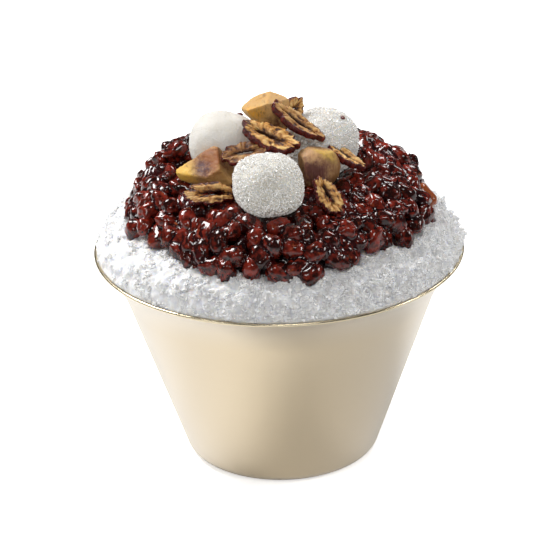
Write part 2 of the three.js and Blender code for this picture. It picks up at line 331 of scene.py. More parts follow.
def shape_of(bm):
    """A small shape's corners and triangles as arrays, to be copied many times."""
    bmesh.ops.triangulate(bm, faces=bm.faces)
    bm.verts.index_update()
    corners = np.array([vert.co[:] for vert in bm.verts])
    faces = np.array([[vert.index for vert in face.verts] for face in bm.faces])
    bm.free()
    return corners, faces


def strewn(name, shapes, picks, turns, places, tones):
    """One piece of many small shapes, each turned, stretched and put in place, with its tone."""
    corners, faces, shades, total = [], [], [], 0
    for k, (shape, triangles) in enumerate(shapes):
        chosen = np.flatnonzero(picks == k)
        copies = np.einsum("nij,vj->nvi", turns[chosen], shape) + places[chosen, None]
        starts = total + len(shape) * np.arange(len(chosen))
        faces.append((triangles[None] + starts[:, None, None]).reshape(-1, 3))
        corners.append(copies.reshape(-1, 3))
        shades.append(np.repeat(tones[chosen], len(shape)))
        total += len(shape) * len(chosen)
    mesh = bpy.data.meshes.new(name)
    mesh.from_pydata(np.concatenate(corners).tolist(), [], np.concatenate(faces).tolist())
    shade = mesh.attributes.new("tone", "FLOAT", "POINT")
    shade.data.foreach_set("value", np.concatenate(shades).astype(np.float32))
    mesh.update()
    return piece_of(name, mesh)


def any_turns(draw, count):
    """Turns in all directions alike, as matrices."""
    turns = draw.normal(size=(4, count))
    w, x, y, z = turns / np.linalg.norm(turns, axis=0)
    rows = [
        [1 - 2 * (y * y + z * z), 2 * (x * y - z * w), 2 * (x * z + y * w)],
        [2 * (x * y + z * w), 1 - 2 * (x * x + z * z), 2 * (y * z - x * w)],
        [2 * (x * z - y * w), 2 * (y * z + x * w), 1 - 2 * (x * x + y * y)],
    ]
    return np.array(rows).transpose(2, 0, 1)


def spots_on(mesh, draw, count, keep):
    """Random points on a mesh's faces where keep(centre) holds, with the faces' normals."""
    faces = [face for face in mesh.polygons if keep(face.center)]
    areas = np.array([face.area for face in faces])
    chosen = [faces[i] for i in draw.choice(len(faces), size=count, p=areas / areas.sum())]
    centres = np.array([face.center[:] for face in chosen])
    normals = np.array([face.normal[:] for face in chosen])
    return centres, normals


def ice_is_loose(point):
    """Whether a point is on the shown ring of ice and not on its left, which is packed smooth."""
    shown = point.z > lip_height + 0.5 * MM and point.xy.length > ICE_HIDDEN_WITHIN + 4 * MM
    ragged = LOOSE["ragged"] * noise.noise(point / LOOSE["size"])
    return shown and point.x > LOOSE["from"] + ragged


def between(limits, share):
    """The size, or the array of sizes, at this share of the way between two limits."""
    return limits[0] + (limits[1] - limits[0]) * share


draw = np.random.default_rng(21)
flake_at, flake_out = spots_on(ice.data, draw, FLAKES, ice_is_loose)
flake = bmesh.new()
bmesh.ops.create_uvsphere(flake, u_segments=4, v_segments=2, radius=1)
size = between(FLAKE_SIZE, draw.random((FLAKES, 1, 1)) ** 2.5)
stretch = between(FLAKE_STRETCH, draw.random((FLAKES, 1, 3)))
flakes = strewn(
    "ice_flakes",
    [shape_of(flake)],
    np.zeros(FLAKES, int),
    any_turns(draw, FLAKES) * stretch * size,
    flake_at + flake_out * FLAKE_OUT * size[:, :, 0] * draw.random((FLAKES, 1)),
    draw.random(FLAKES),
)

# Painted light and shade: the snow's colour is mottled between a shaded grey and a lit white,
# standing in for the shadows among its clumps.
SNOW_LIGHT = (0.97, 0.97, 0.975)
SNOW_SHADE = (0.82, 0.825, 0.85)
# Painted light: a faint glow on the ice and its flakes, though they are no lamp.
SNOW_PAINTED_GLOW = {"Emission Color": (0.98, 0.98, 1), "Emission Strength": 0.02}
ICE_OPTICS = {"IOR": 1.31, "Subsurface Radius": (1, 1.1, 1.3)}
FLAKE_DULL = (0.93, 0.935, 0.945)
FLAKE_WHITE = (1, 1, 1)
packed = Finish("packed_snow")
packed.cover(
    [ice],
    {
        # Painted shade in patches: mottled from the shaded grey to the lit white.
        "Base Color": packed.mix(packed.noise(480, 4).within(0.35, 0.6), SNOW_SHADE, SNOW_LIGHT),
        "Roughness": packed.noise(2500, 1).within(0.2, 0.9) * 0.4 + 0.25,
        "Subsurface Weight": 0.8,
        "Subsurface Scale": 2.2 * MM,
        **SNOW_PAINTED_GLOW,
        **ICE_OPTICS,
    },
    relief=packed.noise(1800, 3),
    depth=0.12 * MM,
)
clear = Finish("clear_flakes")
flake_tone = clear.node("Attribute", {"attribute_name": "tone"}, None, "Fac")
clear.cover(
    [flakes],
    {
        "Base Color": clear.mix(flake_tone, FLAKE_DULL, FLAKE_WHITE),
        "Roughness": 0.4 + 0.4 * flake_tone,
        "Subsurface Weight": 0.6,
        "Subsurface Scale": 1.2 * MM,
        **SNOW_PAINTED_GLOW,
        **ICE_OPTICS,
    },
)


# The sweet red beans are whole adzuki boiled soft in sugar, heaped on the ice and held together by
# their own thick dark syrup. Each bean is one of ten kinds, plump, dented or shrivelled, and all of
# them are joined in one piece.
HEAP_RADIUS = 62 * MM
HEAP_RISE = 33 * MM
HEAP_SHOULDER = {"across": 10, "up": 2}
HEAP_TILT = 0.03
PILES = [
    {"at": (-38, 17), "height": 6.5 * MM, "reach": 9 * MM},
    {"at": (33, 17), "height": 2 * MM, "reach": 8 * MM},
    {"at": (58, 6), "height": -6 * MM, "reach": 9 * MM},
    {"at": (-55, 6), "height": -2.5 * MM, "reach": 8 * MM},
]
HEAP_WANDER = 1.6 * MM
HEAP_SPILL = 2.2 * MM
HEAP_NOTCH = 6.6 * MM
BEAN_HALF = Vector((5.1, 3.9, 3.5)) * MM
BEAN_COUNT = 600
BEAN_KINDS = 10
BEAN_SPACING = 6.3 * MM
BEAN_TRIES = 30000
BEAN_SINK = {"mean": 0.6 * MM, "spread": 2.6 * MM}
BEAN_SCALE = {"least": 0.86, "spread": 0.3}
BEAN_TILT = 1.1
BEAN_SPIN = 6.3
BEAN_SQUARENESS = 2.5
BEAN_DENT = 0.24
BEAN_SHRIVEL = {"least": 0.10, "more": 0.16}
BEAN_WRINKLE = 0.9
BEAN_CREASE = {"depth": 0.10, "width": 0.16}
BEAN_OVER_ICE = 1.2 * MM
BEAN_EDGE_WAVE = 9 * MM
TOPPING_ROOM = 2.4 * MM
AMBER = {"near": (59, 2, 114), "out": 1.3 * MM, "tone": 2}


def heap_edge(turn):
    """How far the heap's edge wanders out at an angle, spilled in front between two notches."""
    wander = HEAP_WANDER * (0.6 * math.sin(3 * turn + 0.7) + 0.4 * math.sin(8 * turn))
    front = max(0, -math.sin(turn))
    return wander + front * (HEAP_SPILL - HEAP_NOTCH * math.sin(2 * turn) ** 6)


def heap_lift(point):
    """How much higher the beans lie at a point, for the heap leans and has piles and dips."""
    lift = HEAP_TILT * point.y
    for pile in PILES:
        away = (point.xy - Vector(pile["at"]) * MM).length / pile["reach"]
        lift += pile["height"] * math.exp(-away * away)
    return lift


def bean_kind(number):
    """One kind of bean: a long ball with squarish ends, a flat side, soft dents and a crease."""
    bean = bmesh.new()
    bmesh.ops.create_icosphere(bean, subdivisions=3, radius=1)
    own = Vector((number * 3.7, number * 1.9, number * 5.1))
    shrivel = BEAN_SHRIVEL["least"] + BEAN_SHRIVEL["more"] * (number % 3 > 0)
    for vert in bean.verts:
        p = vert.co
        square = sum(abs(c) ** BEAN_SQUARENESS for c in p) ** (-1 / BEAN_SQUARENESS)
        dent = BEAN_DENT * noise.noise(p * 1.1 + own) + shrivel * noise.noise(p * 2.6 + own)
        ridge = noise.noise(Vector((p.x * 1.6, p.y * 3.6, p.z * 3.6)) + own)
        wrinkle = -BEAN_WRINKLE * shrivel * abs(ridge)
        from_crease = (p.z - 0.25 * p.x) / BEAN_CREASE["width"]
        crease = BEAN_CREASE["depth"] * math.exp(-from_crease ** 2) * (p.y < 0) * abs(p.y)
        p *= square * (1 + dent + wrinkle - crease)
        p.y = max(p.y, -0.86 - 0.1 * abs(p.y))
        vert.co = Vector((p.x * BEAN_HALF.x, p.y * BEAN_HALF.y, p.z * BEAN_HALF.z))
    return shape_of(bean)


def solid_tree(node):
    """A search tree of a CAD node's faces."""
    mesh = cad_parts[node].data
    return BVHTree.FromPolygons([v.co for v in mesh.vertices], [p.vertices for p in mesh.polygons])


TOPPINGS = [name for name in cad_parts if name.startswith(("rice_cake", "chestnut", "jujube"))]
topping_trees = [solid_tree(name) for name in TOPPINGS]


def crowds_topping(point, room):
    """Whether a point is inside a topping or within room of its surface."""
    for tree in topping_trees:
        near, normal, _, far = tree.find_nearest(point)
        if far < room or (point - near).dot(normal) < -0.8 * far:
            return True
    return False


def bean_spots(draw):
    """Centres for the beans over the heap's surface and which way is out, no two too near."""
    line = evenly(list(reversed(mound_line(HEAP_RADIUS, HEAP_RISE, HEAP_SHOULDER))), 0.5 * MM)
    weights = np.array([point.x for point in line[:-1]])
    picks = draw.choice(len(weights), size=BEAN_TRIES, p=weights / weights.sum())
    centres, outs = [], []
    for pick in picks:
        turn = 2 * math.pi * draw.random()
        slope = (line[pick + 1] - line[pick]).normalized()
        spin = Matrix.Rotation(turn, 3, "Z")
        out = spin @ Vector((-slope.z, 0, slope.x))
        depth = BEAN_SINK["mean"] + BEAN_SINK["spread"] * (draw.random() - 0.5)
        edge = (line[pick].x / HEAP_RADIUS) ** 3 * heap_edge(turn)
        centre = spin @ (line[pick] + Vector((edge, 0, 0))) - out * depth
        centre.z += heap_lift(centre)
        wave = BEAN_OVER_ICE * noise.noise(centre / BEAN_EDGE_WAVE)
        low = ice_height(centre.xy.length) + BEAN_OVER_ICE + wave
        if centre.z < low or crowds_topping(centre, TOPPING_ROOM):
            continue
        if centres and np.linalg.norm(np.array(centres) - centre, axis=1).min() < BEAN_SPACING:
            continue
        centres.append(centre)
        outs.append(out)
        if len(centres) == BEAN_COUNT:
            break
    return centres, outs


draw = np.random.default_rng(5)
bean_at, bean_out = bean_spots(draw)
bean_turns = []
for out in bean_out:
    lie = out.to_track_quat("Z", "Y").to_matrix()
    tilt = [BEAN_TILT * (draw.random() - 0.5) for _ in range(2)]
    tip = Euler((*tilt, BEAN_SPIN * draw.random()))
    scale = BEAN_SCALE["least"] + BEAN_SCALE["spread"] * draw.random()
    bean_turns.append(np.array(lie @ tip.to_matrix()) * scale)
bean_tones = 0.9 * draw.random(len(bean_at))
amber_at = Vector(AMBER["near"]) * MM
amber = np.linalg.norm(np.array(bean_at) - amber_at, axis=1).argmin()
bean_tones[amber] = AMBER["tone"]
bean_at[amber] += bean_out[amber] * AMBER["out"]
beans = strewn(
    "sweet_beans",
    [bean_kind(number) for number in range(BEAN_KINDS)],
    draw.integers(BEAN_KINDS, size=len(bean_at)),
    np.array(bean_turns),
    np.array(bean_at),
    bean_tones,
)
beans.data.shade_smooth()
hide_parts("red_beans")

BEAN_RED = (0.26, 0.024, 0.012)
BEAN_DARK = (0.022, 0.003, 0.002)
BEAN_BROWN = (0.36, 0.075, 0.02)
BEAN_AMBER = (0.32, 0.075, 0.02)
skin = Finish("bean_skin")
bean_tone = skin.node("Attribute", {"attribute_name": "tone"}, None, "Fac")
mottle = skin.noise(420, 3)
ripe = skin.mix((bean_tone * 0.6 + (mottle - 0.5) * 2.4).within(0, 0.8), BEAN_DARK, BEAN_RED)
streak = skin.noise(300, 4, 0.6).within(0.62, 0.74)
streaked = skin.mix(streak, ripe, BEAN_BROWN)
skin.cover(
    [beans],
    {
        "Base Color": skin.mix(bean_tone.within(1, AMBER["tone"]), streaked, BEAN_AMBER),
        "Roughness": 0.1 + 0.2 * mottle,
        "Specular IOR Level": 0.1,
        "Coat Weight": 0.85,
        "Coat Roughness": 0.03,
        "Coat IOR": 1.5,
        "Subsurface Weight": 0.1,
        "Subsurface Scale": 1.5 * MM,
        "Subsurface Radius": (1, 0.25, 0.15),
    },
    relief=skin.noise(520, 3),
    depth=0.4 * MM,
)


# The syrup is the beans' own starch and sugar boiled thick and nearly black. Its near black is
# partly painted shade, darkened to stand for the shade in the gaps between the beans. It fills the
# heap between the beans and clings over them in a glossy film. It is one skin drawn round the beans
# and a core, and smoothed as a liquid is, so that the beans' crowns stand out of it.
SYRUP_VOXEL = 0.81 * MM
SYRUP_SMOOTH = 5
SYRUP_BELOW = 0.25 * MM
SYRUP_UNEVEN = {"size": 9 * MM, "depth": 0.7 * MM}
# Painted shade in part: the syrup's near black also stands for the shade in the gaps between the
# beans.
SYRUP_BLACK_AND_SHADE = (0.010, 0.001, 0.002)
SYRUP_RED = (0.05, 0.005, 0.005)
CORE_FLOOR = BOWL_HEIGHT + 4 * MM
CORE_INSIDE = {"foot": 6 * MM, "edge": 3.2 * MM, "top": 2.8 * MM}
CORE_SPACING = 2 * MM
CORE_STEPS = 120


def fused(name, piece, voxel, smooth):
    """The piece's mesh as one closed skin of even small faces, smoothed."""
    copy = bpy.data.objects.new(name, piece.data.copy())
    bpy.context.scene.collection.objects.link(copy)
    remesh = copy.modifiers.new("skin", "REMESH")
    remesh.mode = "VOXEL"
    remesh.voxel_size = voxel
    soften = copy.modifiers.new("soften", "SMOOTH")
    soften.factor = 0.5
    soften.iterations = smooth
    depsgraph = bpy.context.evaluated_depsgraph_get()
    mesh = bpy.data.meshes.new_from_object(copy.evaluated_get(depsgraph))
    bpy.data.objects.remove(copy)
    mesh.name = name
    return mesh


core_mound = mound_line(
    HEAP_RADIUS - CORE_INSIDE["edge"], HEAP_RISE - CORE_INSIDE["top"], HEAP_SHOULDER
)
core_line = [
    Vector((0, 0, CORE_FLOOR)),
    Vector((HEAP_RADIUS - CORE_INSIDE["foot"], 0, CORE_FLOOR)),
    *evenly(core_mound, CORE_SPACING)[1:],
]
core_line[-1].x = 0
core = spun(core_line, CORE_STEPS)
for vert in core.verts:
    turn = math.atan2(vert.co.y, vert.co.x)
    grow = (vert.co.xy.length / HEAP_RADIUS) ** 3 * heap_edge(turn)
    vert.co.xy += vert.co.xy.normalized() * grow
    vert.co.z += heap_lift(vert.co)
core.from_mesh(beans.data)
heap = bpy.data.objects.new("heap", mesh_of("heap", core))
syrup_mesh = fused("dark_syrup", heap, SYRUP_VOXEL, SYRUP_SMOOTH)
bpy.data.objects.remove(heap)
normals = [normal.vector.copy() for normal in syrup_mesh.vertex_normals]
for vert, normal in zip(syrup_mesh.vertices, normals):
    uneven = noise.noise(vert.co / SYRUP_UNEVEN["size"]) * SYRUP_UNEVEN["depth"]
    vert.co -= normal * (SYRUP_BELOW + uneven)
syrup_mesh.shade_smooth()
syrup = piece_of("dark_syrup", syrup_mesh)

glaze = Finish("dark_syrup")
thick = glaze.noise(260, 3)
glaze.cover(
    [syrup],
    {
        # Painted shade in part: the black end of the syrup's colour darkens the gaps between the
        # beans.
        "Base Color": glaze.mix(thick.within(0.4, 0.65), SYRUP_BLACK_AND_SHADE, SYRUP_RED),
        "Roughness": 0.1 + 0.2 * thick,
        "Specular IOR Level": 0.1,
        "Coat Weight": 0.8,
        "Coat Roughness": 0.02,
        "Coat IOR": 1.5,
    },
    relief=glaze.noise(300, 3),
    depth=0.7 * MM,
)


# The rice cakes are balls of pounded sticky rice rolled by hand, a little squarish, and dusted with
# sugar. The front and right ones are thick with crystals, and the left one is bare. Each cake's
# dough tones are painted light and shade, set to how bright that cake looks where it sits. The bare
# left cake and the sugar crystals have a faint painted glow.
CRYSTAL_SIZE = (0.16 * MM, 0.42 * MM)
CRYSTAL_STRETCH = (0.6, 1)
CRYSTAL_OUT = 0.3
CRYSTAL_DULL = (0.80, 0.78, 0.74)
CRYSTAL_WHITE = (1, 1, 1)
# Painted light: the warm white with which the bare left cake and the sugar crystals are painted to
# glow, though they are no lamp.
WARM_PAINTED_GLOW = (1, 0.97, 0.92)
# Each cake's tones are painted light and shade, set to how bright that cake looks where it sits,
# and its glow is painted light.
RICE_CAKES = {
    "rice_cake_front": {
        "at": (-3.6, -37.5, 131.5), "turn": (0, 0, 20), "half": (13, 13, 11.1), "square": 2.8,
        "crystals": 4200, "painted_glow": 0, "tones": ((0.66, 0.63, 0.56), (0.82, 0.80, 0.75)),
    },
    "rice_cake_left": {
        "at": (-21.1, 4.5, 132), "turn": (0, 8, 80), "half": (14.1, 14.1, 12.7), "square": 2.35,
        "crystals": 0, "painted_glow": 0.1, "tones": ((0.60, 0.57, 0.51), (0.69, 0.665, 0.62)),
    },
    "rice_cake_right": {
        "at": (18.1, 5, 132), "turn": (6, 0, 140), "half": (14.1, 14.1, 12.7), "square": 2.35,
        "crystals": 3600, "painted_glow": 0, "tones": ((0.68, 0.65, 0.60), (0.84, 0.82, 0.78)),
    },
}


def placed(at, turn):
    """The place of a topping from millimetres and degrees about its own X, Y and Z."""
    angles = Euler([math.radians(angle) for angle in turn], "ZYX")
    return Matrix.Translation(Vector(at) * MM) @ angles.to_matrix().to_4x4()


def rice_cake(at, turn, half, squareness, number):
    """A ball of dough with flattened cheeks and a skin that is dimpled all over."""
    dough = bmesh.new()
    bmesh.ops.create_icosphere(dough, subdivisions=6, radius=1)
    own = Vector((7.3, 2.1, 4.4)) * number
    for vert in dough.verts:
        p = vert.co
        square = sum(abs(c) ** squareness for c in p) ** (-1 / squareness)
        lump = 0.03 * noise.noise(p * 1.4 + own) + 0.012 * noise.noise(p * 5 + own)
        pore = 0.006 * noise.noise(p * 22 + own)
        p *= square * (0.985 + lump + pore)
        vert.co = Vector([c * reach * MM for c, reach in zip(p, half)])
    dough.transform(placed(at, turn))
    return dough


sugar_finish = Finish("sugar_crystals")
glint = sugar_finish.node("Attribute", {"attribute_name": "tone"}, None, "Fac")
sugared = []
draw = np.random.default_rng(9)
for number, (name, cake) in enumerate(RICE_CAKES.items()):
    shape = rice_cake(cake["at"], cake["turn"], cake["half"], cake["square"], number)
    dough = piece_of(name + "_dough", mesh_of(name + "_dough", shape))
    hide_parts(name)
    dough_finish = Finish(name + "_dough")
    cloud = dough_finish.noise(110, 3)
    dough_finish.cover(
        [dough],
        {
            # Painted light and shade: each cake's two tones are set to how bright that cake looks
            # where it sits.
            "Base Color": dough_finish.mix(cloud.within(0.35, 0.65), *cake["tones"]),
            "Roughness": 0.42 + 0.15 * cloud,
            # Painted light: a glow that lifts the bare left cake's shade.
            "Emission Color": WARM_PAINTED_GLOW,
            "Emission Strength": cake["painted_glow"],
            "Subsurface Weight": 0.9,
            "Subsurface Scale": 5 * MM,
            "Subsurface Radius": (1, 0.9, 0.75),
        },
        relief=dough_finish.noise(1500, 2),
        depth=0.35 * MM,
    )
    count = cake["crystals"]
    if not count:
        continue
    spot, out = spots_on(dough.data, draw, count, lambda point: True)
    cube = bmesh.new()
    bmesh.ops.create_cube(cube, size=2)
    size = between(CRYSTAL_SIZE, draw.random((count, 1, 1)))
    sugar = strewn(
        name + "_sugar",
        [shape_of(cube)],
        np.zeros(count, int),
        any_turns(draw, count) * size * between(CRYSTAL_STRETCH, draw.random((count, 1, 3))),
        spot + out * CRYSTAL_OUT * size[:, :, 0],
        draw.random(count),
    )
    sugared.append(sugar)
sugar_finish.cover(
    sugared,
    {
        "Base Color": sugar_finish.mix(glint, CRYSTAL_DULL, CRYSTAL_WHITE),
        "Roughness": 0.03 + 0.15 * glint,
        # Painted light: a faint glow on the crystals that stands in for light passing through them.
        "Emission Color": WARM_PAINTED_GLOW,
        "Emission Strength": 0.09,
        "Alpha": 0.6,
        "IOR": 1.55,
        "Subsurface Weight": 0.5,
        "Subsurface Scale": 0.5 * MM,
        "Subsurface Radius": (1, 1, 1),
    },
)


# The chestnut pieces are boiled nuts broken by a knife: mealy yellow flesh with flat cut faces,
# stained purple and brown where the skin was. Each is fitted from its solid, with its corners worn
# round and its flesh raised in fibres.
CHESTNUTS = {
    "chestnut_left": {
        "grain": (1, 0.3, 2.2), "flesh": (0.52, 0.29, 0.10),
        "stains": [
            ((-40, -18, 129), 12, (0.90, 0.55, 0.10)),
            ((-27, -17, 135), 11, (0.34, 0.12, 0.035)),
            ((-31, -19, 133), 7, (0.09, 0.026, 0.03)),
        ],
    },
    "chestnut_right": {
        "grain": (2.6, 0.5, 0.4), "flesh": (0.48, 0.27, 0.12),
        "stains": [
            ((23, -20, 130), 10, (0.26, 0.12, 0.04)),
            ((20, -19, 138), 7, (0.58, 0.36, 0.07)),
            ((15, -26, 131), 9, (0.16, 0.06, 0.045)),
        ],
    },
    "chestnut_top": {
        "grain": (2.2, 0.5, 1), "flesh": (0.64, 0.38, 0.14),
        "stains": [
            ((-10, -8, 147), 9, (0.95, 0.48, 0.05)),
            ((-2, -9, 143), 8, (0.15, 0.05, 0.02)),
            ((4, 2, 156), 7, (0.44, 0.24, 0.11)),
        ],
    },
}
CHESTNUT_VOXEL = 0.42 * MM
CHESTNUT_SMOOTH = 2
STREAK_BROWN = (0.20, 0.085, 0.03)
FIBRE_TAN = (0.80, 0.54, 0.26)


def worn(node, voxel, smooth):
    """A CAD node's solid with its facets and corners worn round."""
    solid = bmesh.new()
    solid.from_mesh(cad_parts[node].data)
    bmesh.ops.remove_doubles(solid, verts=solid.verts, dist=0.01 * MM)
    bare = bpy.data.objects.new(node, mesh_of(node, solid))
    mesh = fused(node + "_flesh", bare, voxel, smooth)
    bpy.data.objects.remove(bare)
    return mesh


for name, nut in CHESTNUTS.items():
    flesh_mesh = worn(name, CHESTNUT_VOXEL, CHESTNUT_SMOOTH)
    normals = [normal.vector.copy() for normal in flesh_mesh.vertex_normals]
    grain = Vector(nut["grain"])
    for vert, normal in zip(flesh_mesh.vertices, normals):
        along = Vector([c * g for c, g in zip(vert.co, grain)])
        lump = 0.3 * noise.fractal(vert.co / (6 * MM), 1, 2, 3)
        fibre = 0.09 * noise.noise(along / (1.1 * MM)) + 0.05 * noise.noise(vert.co / (0.6 * MM))
        vert.co += normal * (lump + fibre + 0.1) * MM
    flesh_mesh.shade_smooth()
    chestnut = piece_of(name + "_flesh", flesh_mesh)
    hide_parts(name)
    flesh = Finish(name + "_flesh")
    grainy = flesh.node("Mapping", None, {"Vector": flesh.here, "Scale": grain})
    fibres = flesh.noise(420, 4, 0.6, at=grainy)
    patch = flesh.noise(190, 6, 0.8)
    streaks = flesh.noise(300, 5, 0.7, at=grainy).within(0.54, 0.66)
    colour = nut["flesh"]
    for place, spread, stain in nut["stains"]:
        blot = (flesh.nearness(place, spread) + (patch - 0.5) * 2.4).within(0.15, 0.7)
        colour = flesh.mix(blot, colour, stain)
    colour = flesh.mix(streaks * 0.55, colour, STREAK_BROWN)
    flesh.cover(
        [chestnut],
        {
            "Base Color": flesh.mix(fibres.within(0.5, 0.8) * 0.3, colour, FIBRE_TAN),
            "Roughness": 0.42 + 0.25 * fibres,
            "Specular IOR Level": 0.3,
            "Subsurface Weight": 0.2,
            "Subsurface Scale": 1 * MM,
            "Subsurface Radius": (1, 0.6, 0.25),
        },
        relief=fibres,
        depth=0.15 * MM,
    )


# The jujube slices are cut along dried fruit: a ring of spongy tan flesh round the slot that the
# stone left, inside a skin that dried dark red and crinkled. Each is a spun ring pushed into its
# outline, then curled and crumpled. The flesh carries painted light and shade: each slice is
# painted as lit as it looks where it lies, its raised folds get painted highlights and its creases
# painted shade.
JUJUBES = {
    "jujube_middle": {
        "at": (-2.8, -14, 141.6), "turn": (24, 12, -22), "length": 23, "width": 12.4,
        "thickness": 3.8, "curl": 1.2, "slot": (11, 2.8, -1), "ripple": 0.4, "painted_light": 0.75,
    },
    "jujube_leaning": {
        "at": (8.2, -6.5, 144.8), "turn": (14, 31, -20), "length": 24.4, "width": 9.6,
        "thickness": 2.8, "curl": 1, "slot": (15, 2.6, 1), "ripple": 1.9, "painted_light": 0.35,
    },
    "jujube_back": {
        "at": (6.2, 4, 145.4), "turn": (62, 30, 60), "length": 13, "width": 8.5,
        "thickness": 2.8, "curl": 1, "slot": (5.5, 2, 0), "ripple": 3.1, "painted_light": 0.8,
    },
    "jujube_between": {
        "at": (-12.5, -18, 137), "turn": (40, -8, 10), "length": 19, "width": 10,
        "thickness": 2.8, "curl": 1, "slot": (8, 2.2, 0), "ripple": 4.2, "painted_light": 0.05,
    },
    "jujube_left": {
        "at": (-27, -31, 125.5), "turn": (42, 4, 4), "length": 20, "width": 10,
        "thickness": 2.8, "curl": -1.4, "slot": (10, 3.6, 2), "ripple": 5.3, "painted_light": 0.4,
    },
    "jujube_front": {
        "at": (19.4, -38, 126.2), "turn": (44, 20, -58), "length": 16.6, "width": 9.5,
        "thickness": 2.8, "curl": 0.9, "slot": (9, 2.2, 0), "ripple": 0.9, "painted_light": 0.65,
    },
    "jujube_right": {
        "at": (26.2, -9, 131.6), "turn": (8, 28, -28), "length": 20, "width": 9,
        "thickness": 2.8, "curl": 0.8, "slot": (9, 2, 1), "ripple": 2.6, "painted_light": 0.9,
    },
}
RING_RADIUS = 3
RING_STEPS = 220
SECTION_STEPS = 44
FOLD_DEPTH = 0.62
SKIN_FROM = 0.86


def jujube_slice(length, width, thickness, curl, slot, ripple, painted_light, at, turn):
    """A slice as a bmesh, with how far each point lies from the slot to the skin as its reach."""
    ring = bmesh.new()
    made = bmesh.ops.create_circle(ring, segments=SECTION_STEPS, radius=1, cap_ends=False)
    bmesh.ops.rotate(ring, verts=made["verts"], matrix=Matrix.Rotation(math.pi / 2, 3, "X"))
    bmesh.ops.translate(ring, verts=made["verts"], vec=(RING_RADIUS, 0, 0))
    bmesh.ops.spin(
        ring, geom=ring.verts[:] + ring.edges[:], axis=(0, 0, 1),
        angle=2 * math.pi, steps=RING_STEPS, use_merge=True,
    )
    bmesh.ops.remove_doubles(ring, verts=ring.verts, dist=1e-5)
    bmesh.ops.recalc_face_normals(ring, faces=ring.faces)
    in_order(ring)
    reach_layer = ring.verts.layers.float.new("reach")
    fold_layer = ring.verts.layers.float.new("fold")
    painted_light_layer = ring.verts.layers.float.new("painted_light")
    gap_length, gap_width, gap_shift = slot
    own = Vector((ripple * 5, ripple * 2, ripple * 9))
    for vert in ring.verts:
        turn_by = math.atan2(vert.co.y, vert.co.x)
        across = vert.co.xy.length - RING_RADIUS
        up = vert.co.z
        share = (across + 1) / 2
        around = Vector((math.cos(turn_by), math.sin(turn_by), 0))
        wave = 0.05 * (math.sin(7 * turn_by + ripple) + math.sin(11 * turn_by - ripple))
        crinkle = 0.07 * noise.noise(around * 9 + own) + 0.05 * noise.noise(around * 21 + own)
        outer = Vector((around.x * length / 2, around.y * width / 2, 0)) * (1 + wave + crinkle)
        torn = 1 + 0.5 * noise.noise(around * 3 + own * 2) + 0.4 * noise.noise(around * 9 + own)
        inner = Vector((around.x * gap_length / 2, around.y * gap_width / 4, 0)) * torn
        inner.x += gap_shift
        flat = inner.lerp(outer, share)
        edge = 1 + 0.3 * smooth_share(share, 0.75, 0.95)
        edge -= 0.3 * smooth_share(1 - share, 0.5, 1)
        pleat = math.sin(17 * turn_by + 5 * noise.noise(around * 3 + own) + 3 * share)
        lengthways = Vector((flat.x / 4.2, flat.y / 1.5, 0)) + own
        fold = FOLD_DEPTH * noise.fractal(lengthways, 1, 2, 3) + 0.24 * pleat * share
        high = math.copysign(abs(up) ** 0.6, up) * thickness / 2 * edge
        high += FOLD_DEPTH * fold * (1 - 0.4 * abs(across))
        lengthwise = 2 * flat.x / length
        bend = curl * lengthwise ** 2 + 0.12 * flat.y * math.sin(2 * lengthwise + ripple)
        sway = 0.5 * noise.noise(flat / 7 + own)
        vert.co = Vector((flat.x, flat.y, high + bend + sway)) * MM
        vert[reach_layer] = share + 0.07 * noise.noise(flat / 1.1 + own)
        vert[fold_layer] = 0.5 + fold * math.copysign(1, up)
        vert[painted_light_layer] = painted_light
    ring.transform(placed(at, turn))
    return ring


# Painted shade: the dark flesh colour given to the slices that lie in shade.
FLESH_PAINTED_SHADE = (0.27, 0.095, 0.018)
FLESH_TAN = (0.74, 0.34, 0.075)
# Painted highlight on the raised folds, and painted shade in the creases between them, whose dark
# brown also colours the flesh round the slot.
FLESH_RIDGE_HIGHLIGHT = (1, 0.69, 0.27)
CREASE_SHADE_AND_SLOT_BROWN = (0.07, 0.022, 0.009)
SKIN_RED = (0.06, 0.006, 0.007)
SKIN_BRIGHT = (0.20, 0.022, 0.014)
jujube_finish = Finish("dried_jujube")


def jujube_share(name):
    """One of the numbers that the slices keep at each point."""
    return jujube_finish.node("Attribute", {"attribute_name": name}, None, "Fac")


reach = jujube_share("reach")
fold = jujube_share("fold")
spongy = jujube_finish.noise(800, 4, 0.65)
raised = (fold + (spongy - 0.5) * 1.3).within(0.12, 0.85)
# Painted light and shade: each slice keeps how lit it is painted, from the shaded dark flesh to the
# lit tan.
painted_light = jujube_share("painted_light")
body = jujube_finish.mix(painted_light, FLESH_PAINTED_SHADE, FLESH_TAN)
# Painted highlight: the raised folds are painted brighter, broken up by the spongy noise, and more
# so on the slices painted lit.
ridge_highlighted = jujube_finish.mix(raised.within(0.45, 1) * (0.25 + 0.75 * painted_light), body, FLESH_RIDGE_HIGHLIGHT)
# Painted shade: the creases between the folds are painted dark brown.
crease_shaded = jujube_finish.mix(raised.within(0.04, 0.42), CREASE_SHADE_AND_SLOT_BROWN, ridge_highlighted)
in_slot = 1 - (reach + (spongy - 0.5) * 0.35).within(0.02, 0.22)
